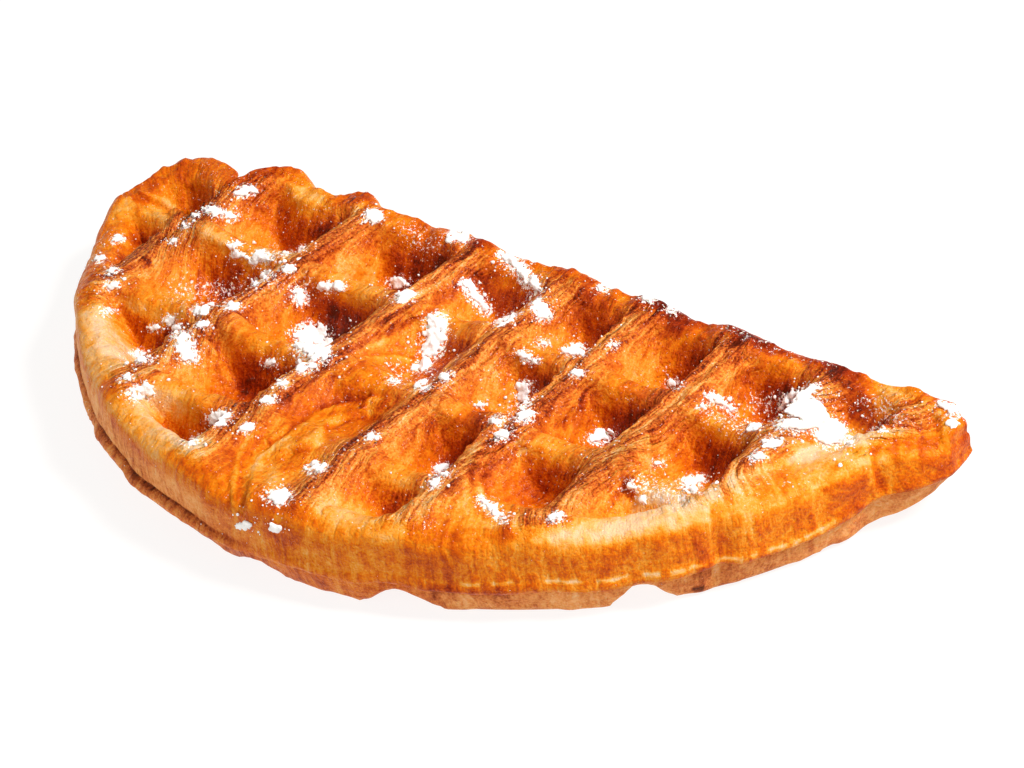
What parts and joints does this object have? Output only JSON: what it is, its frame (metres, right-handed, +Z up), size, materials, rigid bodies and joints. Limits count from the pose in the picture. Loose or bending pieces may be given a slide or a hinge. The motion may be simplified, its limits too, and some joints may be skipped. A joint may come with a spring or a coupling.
{
  "type": "croffle",
  "caption": "Half-moon croissant pressed in a waffle iron, with deep square pockets, a pale rim and a dusting of icing sugar.",
  "frame": {"origin": "under the middle of the piece's box, on the surface it rests on", "axes": "+X along the straight side to the pointed end, +Y to the straight side, +Z up"},
  "size_m": [0.1528, 0.0738, 0.016],
  "materials": {
    "baked_pastry": "glossy baked crust, golden to red-brown, with icing sugar"
  },
  "bodies": {
    "root": {"croffle": "baked_pastry"}
  },
  "joints": []
}
